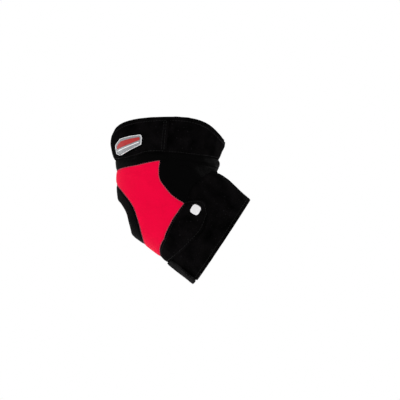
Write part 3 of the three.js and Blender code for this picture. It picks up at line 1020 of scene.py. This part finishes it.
def flap_last(turn):
    """The flap's free edge, with two rounded corners."""
    into = np.maximum(np.abs(turn) * per_radian - FLAP_WIDTH / 2 + FLAP_CORNER, 0)
    rounding = FLAP_CORNER - np.sqrt(np.maximum(FLAP_CORNER ** 2 - into ** 2, 0))
    return cuff_end(turn) - (FLAP_SETBACK + rounding) / last_length


flap_grid = band(
    flap_first, flap_last, rows=FLAP_ROWS, cols=60, first=-flap_reach, last=flap_reach, open_ends=True,
)
flap_height = STRAP_FACE + FLAP_LIFT * crowded(FLAP_ROWS)[:, None] ** 2
# The flap wears the paler copy of the loop finish: a painted highlight for light from below.
cloth(
    "under_flap_cloth", flap_grid, flap_height, STRAP_WALL, "loop_cloth", "under_flap",
    hems=[(edge, HEM_INSET) for edge in ("low", "left", "right")], finish="flap_cloth_painted_highlight",
)

# %% [markdown]
# ## Stitches
#
# A seam is a row of stitches, all alike, so only one small stitch is modelled. It is a bead that
# lies on its side.

# %% One stitch
def one_stitch():
    """Vertices and faces of a rounded stitch that is one long, wide and high."""
    deselect()
    lying = (0, math.radians(90), 0)
    bpy.ops.mesh.primitive_uv_sphere_add(segments=6, ring_count=5, radius=0.5, rotation=lying)
    bead = bpy.context.active_object
    bpy.ops.object.transform_apply(location=False, rotation=True, scale=True)
    points = np.array([vertex.co for vertex in bead.data.vertices])
    faces = np.array([list(face.vertices) for face in bead.data.polygons], dtype=object)
    bpy.data.objects.remove(bead)
    return points, faces


STITCH_POINTS, STITCH_FACES = one_stitch()
print("points in a stitch:", len(STITCH_POINTS))

# %% [markdown]
# Stitches stand at equal distances along a line on the sleeve. Each needs a place and three
# directions: along its line, across it, and up from the cloth.

# %% Places for stitches
def spread(values, known, wanted):
    """Values between known marks, one column at a time."""
    return np.stack([np.interp(wanted, known, column) for column in values.T], axis=-1)


def unit(vectors):
    """The same directions, each one long."""
    return vectors / np.linalg.norm(vectors, axis=-1, keepdims=True)


def stitch_frames(spots, height, pitch):
    """Middles of the stitches along a line, with their directions along, across and up."""
    flat = plain_point(spots[:, 0], spots[:, 1])
    normal = plain_normal(spots[:, 0], spots[:, 1])
    points = flat + normal * (height + fold_height(flat))[:, None]
    way = walked(points)
    count = max(int(way[-1] / pitch), 2)
    marks = (np.arange(count) + 0.5) * way[-1] / count
    forward = unit(spread(points, way, marks + pitch / 4) - spread(points, way, marks - pitch / 4))
    across = unit(np.cross(spread(normal, way, marks), forward))
    return spread(points, way, marks), forward, across, np.cross(forward, across)


print("hem lines to sew:", len(HEM_LINES))

# %% [markdown]
# The stitch's vertices are copied to every place and joined into one piece. In a flat seam every
# second copy leans the other way, which makes a zigzag.

# %% Copy the stitch
def stitches(name, lines, pitch, length, thread, slot, finish, lean=0.0):
    """Sews along lines, each given by its spots on the sleeve and their height."""
    vertices, faces = [], []
    for spots, height in lines:
        place, forward, across, up = stitch_frames(spots, height, pitch)
        tilt = lean * np.where(np.arange(len(place)) % 2, 1, -1)[:, None]
        run = forward * np.cos(tilt) + across * np.sin(tilt)
        over = across * np.cos(tilt) - forward * np.sin(tilt)
        axes = np.stack([run * length, over * thread, up * thread], axis=1)
        for middle, frame_axes in zip(place, axes):
            start = len(vertices)
            vertices.extend((middle + STITCH_POINTS @ frame_axes).tolist())
            faces.extend([start + corner for corner in face] for face in STITCH_FACES)
    mesh = bpy.data.meshes.new(name)
    mesh.from_pydata(vertices, [], faces)
    piece = bpy.data.objects.new(name, mesh)
    bpy.context.scene.collection.objects.link(piece)
    face_outwards(piece)
    bpy.ops.object.shade_smooth()
    finish_piece(piece, slot=slot, finish=finish)
    print(name, len(vertices) // len(STITCH_POINTS), "stitches")


print("faces in a stitch:", len(STITCH_FACES))

# %% [markdown]
# The red panel is joined to its neighbours by flat zigzag seams in a dusky thread. They lie in
# the small valley that the two rolled edges make. The black panels meet in the same way, in
# black thread.

# %% Flat seams
VALLEY = -0.45 * MM
ZIGZAG = dict(pitch=1.1 * MM, length=1.7 * MM, thread=0.34 * MM, lean=math.radians(38))
SEAM_STEPS = 160
shares = np.linspace(0, 1, SEAM_STEPS)
black_seams = [
    part_of(band_seam, corner_turn, 2 * math.pi - corner_turn)(shares),
    part_of(cuff_seam, tip_turn, 2 * math.pi - tip_turn)(shares),
    front_line(shares),
]
red_seams = [(panel_outline, VALLEY), (ring_edge, VALLEY)]
stitches("red_seam_threads", red_seams, slot="red_neoprene", finish="red_thread", **ZIGZAG)
dark_seams = [(line, VALLEY) for line in black_seams]
stitches("black_seam_threads", dark_seams, slot="black_neoprene", finish="seam_thread", **ZIGZAG)

# %% [markdown]
# Straps and hems are sewn with a plain row of longer stitches, along the lines that the hems
# left when the cloth was made.

# %% Hem stitches
stitches(
    "hem_threads", HEM_LINES, pitch=2.8 * MM, length=2.4 * MM, thread=0.42 * MM,
    slot="black_neoprene", finish="hem_thread",
)

# %% [markdown]
# ## The badge
#
# The badge is moulded rubber, sewn to the strap. It is drawn flat, as an outline with eight
# corners, and laid on the sleeve like the cloth. Its section is a short profile: how far inside
# the outline each row lies, what share of the way to the middle, and how high it stands.

# %% Outlines for moulded pieces
OUTLINE_POINTS = 144


def chart(corners):
    """The corners in metres on a flat copy of the cloth, its middle, and metres per turn and station."""
    spots = np.array([locate(corner) for corner in corners])
    middle = spots.mean(axis=0)
    step = 0.01
    rates = []
    for move in ((step, 0), (0, step)):
        ahead = plain_point(*(middle + move))
        rates.append(np.linalg.norm(ahead - plain_point(*(middle - move))) / (2 * step))
    return (spots - middle) * rates, middle, np.array(rates)


def outline_of(corners, softness):
    """A closed line round the corners, evenly spaced and with soft corners."""
    loop_corners = np.vstack([corners, corners[:1]])
    way = walked(loop_corners)
    line = spread(loop_corners, way, np.linspace(0, way[-1], OUTLINE_POINTS, endpoint=False))
    for _ in range(softness):
        line = (np.roll(line, 1, axis=0) + 2 * line + np.roll(line, -1, axis=0)) / 4
    return line


def inset(line, distance):
    """The closed line moved inwards."""
    tangent = unit(np.roll(line, -1, axis=0) - np.roll(line, 1, axis=0))
    inward = np.stack([-tangent[:, 1], tangent[:, 0]], axis=-1)
    if (inward * (line.mean(axis=0) - line)).sum() < 0:
        inward = -inward
    return line + inward * distance


def moulded_piece(name, corners, profile, slot, replaced=(), softness=3):
    """A moulded piece on the strap: rows of inset, share to the middle, and height above it."""
    flat, middle, rates = chart(corners)
    line = outline_of(flat, softness)
    centre = line.mean(axis=0)
    rows = []
    for away, share, _height in profile:
        row = inset(line, away * MM) * (1 - share) + centre * share
        rows.append(np.vstack([row, row[:1]]))
    spots = middle + np.array(rows) / rates
    height = STRAP_FACE + np.array([row[2] for row in profile])[:, None] * MM
    piece = lay(name, spots, np.broadcast_to(height, spots.shape[:2]), ring=True, roll=0.0)
    merge_ends(piece)
    face_outwards(piece)
    bpy.ops.object.shade_smooth_by_angle(angle=SMOOTH_ANGLE)
    finish_piece(piece, *replaced, slot=slot)
    print(name, "faces:", len(piece.data.polygons))


print("points round a moulded outline:", OUTLINE_POINTS)

# %% [markdown]
# The badge's face is plain: a red bar above a thin light line, on a grey field with a silver
# border. The bar and the line share one profile.

# %% Badge
RIM_PROFILE = [
    (0.0, 0, 0.2), (0.0, 0, 1.6), (0.06, 0, 1.95), (0.18, 0, 2.1), (0.32, 0, 2.1),
    (0.44, 0, 1.95), (0.5, 0, 1.6), (0.5, 0, 0.2), (0.0, 0, 0.2),
]
PLATE_PROFILE = [
    (0.53, 1, 0.3), (0.53, 0.5, 0.3), (0.53, 0, 0.3), (0.53, 0, 1.45), (0.7, 0, 1.6), (0.7, 0.2, 1.6),
    (0.7, 0.4, 1.6), (0.7, 0.6, 1.6), (0.7, 0.8, 1.6), (0.7, 1, 1.6),
]
RAISED_PROFILE = [
    (0.0, 1, 1.5), (0.0, 0.5, 1.5), (0.0, 0, 1.5), (0.0, 0, 1.85), (0.12, 0, 2.0), (0.3, 0, 2.05),
    (0.3, 0.3, 2.05), (0.3, 0.6, 2.05), (0.3, 1, 2.05),
]
BAR_CORNERS = [
    (-40.2, 34.0), (-32.0, 35.4), (-22.9, 36.3), (-22.6, 34.6), (-32.0, 32.4), (-43.4, 29.4), (-43.3, 31.6),
]
LINE_CORNERS = [
    (-42.9, 28.55), (-32.6, 31.35), (-23.5, 33.55), (-23.5, 33.05), (-32.6, 30.85), (-42.9, 28.05),
]
moulded_piece("badge_rim_moulding", BADGE_CORNERS, RIM_PROFILE, "badge_silver", ["badge_rim"])
moulded_piece("badge_plate_moulding", BADGE_CORNERS, PLATE_PROFILE, "badge_grey", ["badge_plate"])
moulded_piece("badge_bar_moulding", BAR_CORNERS, RAISED_PROFILE, "badge_red", ["badge_bar"])
moulded_piece("badge_line_moulding", LINE_CORNERS, RAISED_PROFILE, "badge_silver", softness=1)

# %% [markdown]
# ## The white mark
#
# A small white rubber print sits near the strap's rounded end. It is a plain square with round
# corners, and the same function that made the badge lays it on the strap.

# %% White mark
MARK_CENTRE = (30.5, -7.2)
MARK_SLOPE = math.radians(-30)
MARK_SIZE = 9.2 * MM
MARK_POINTS = 16
MARK_ROUNDING = 0.6
MARK_PROFILE = [
    (0.0, 1, 0.1), (0.0, 0.5, 0.1), (0.0, 0, 0.1), (0.0, 0, 0.8), (0.15, 0, 1.0), (0.45, 0, 1.1),
    (0.45, 0.3, 1.12), (0.45, 0.6, 1.13), (0.45, 1, 1.13),
]


def mark_corners():
    """A rounded square, turned to the slope of the strap."""
    half = MARK_SIZE / 2
    corners = []
    for angle in np.linspace(0, 2 * math.pi, MARK_POINTS, endpoint=False):
        right = half * math.copysign(abs(math.cos(angle)) ** MARK_ROUNDING, math.cos(angle))
        up = half * math.copysign(abs(math.sin(angle)) ** MARK_ROUNDING, math.sin(angle))
        x = right * math.cos(MARK_SLOPE) - up * math.sin(MARK_SLOPE)
        z = right * math.sin(MARK_SLOPE) + up * math.cos(MARK_SLOPE)
        corners.append((MARK_CENTRE[0] + 100 * x / ARM_WIDTH, MARK_CENTRE[1] + 100 * z / BRACE_HEIGHT))
    return corners


moulded_piece("strap_mark_moulding", mark_corners(), MARK_PROFILE, "white_print", ["strap_mark"], softness=4)

# %% [markdown]
# ## Studio
#
# A pale floor lies far below in a white room, under large soft lights: the cloth is dark and
# should stay dark, with only its edges caught by the light.

# %% Studio
FLOOR_DROP = 1.5
FLOOR_SIZE = 20.0
FLOOR_GLOW = 0.7
ROOM_LIGHT = 0.45
LIGHT_SIZE = 1.0
PALE = (0.9, 0.9, 0.9, 1)
WHITE = (1, 1, 1, 1)

deselect()
bpy.ops.mesh.primitive_plane_add(size=FLOOR_SIZE, location=(0, 0, -FLOOR_DROP))
floor = bpy.context.active_object
floor.name = "floor"
bpy.ops.object.transform_apply(location=True, rotation=True, scale=True)
floor_finish = Finish(bpy.data.materials.new("floor"))
floor_finish.set(Base_Color=PALE, Roughness=0.9, Emission_Color=WHITE, Emission_Strength=FLOOR_GLOW)
floor.data.materials.append(floor_finish.owner)


def soft_light(name, place, power):
    """A wide lamp that faces the origin."""
    data = bpy.data.lights.new(name, "AREA")
    data.size = LIGHT_SIZE
    data.energy = power
    light = bpy.data.objects.new(name, data)
    light.location = place
    direction = -np.array(place)
    yaw = math.atan2(direction[1], direction[0]) - math.pi / 2
    pitch = math.atan2(direction[2], math.hypot(direction[0], direction[1])) + math.pi / 2
    light.rotation_euler = (pitch, 0, yaw)
    bpy.context.scene.collection.objects.link(light)


soft_light("key", (-1.3, -1.6, 1.4), 35)
soft_light("fill", (1.6, -1.8, 0.4), 18)
soft_light("left_edge", (-1.8, 0.6, -0.4), 12)
soft_light("right_edge", (1.8, 0.8, 0.8), 18)

room = Finish(bpy.data.worlds.new("studio"), "Background")
seen = room.node("ShaderNodeLightPath", output="Is Camera Ray")
room.set(Color=WHITE, Strength=seen * (1 - ROOM_LIGHT) + ROOM_LIGHT)
bpy.context.scene.world = room.owner
bpy.context.scene.view_settings.view_transform = "Standard"
print("lights:", [item.name for item in bpy.data.lights])

# %% [markdown]
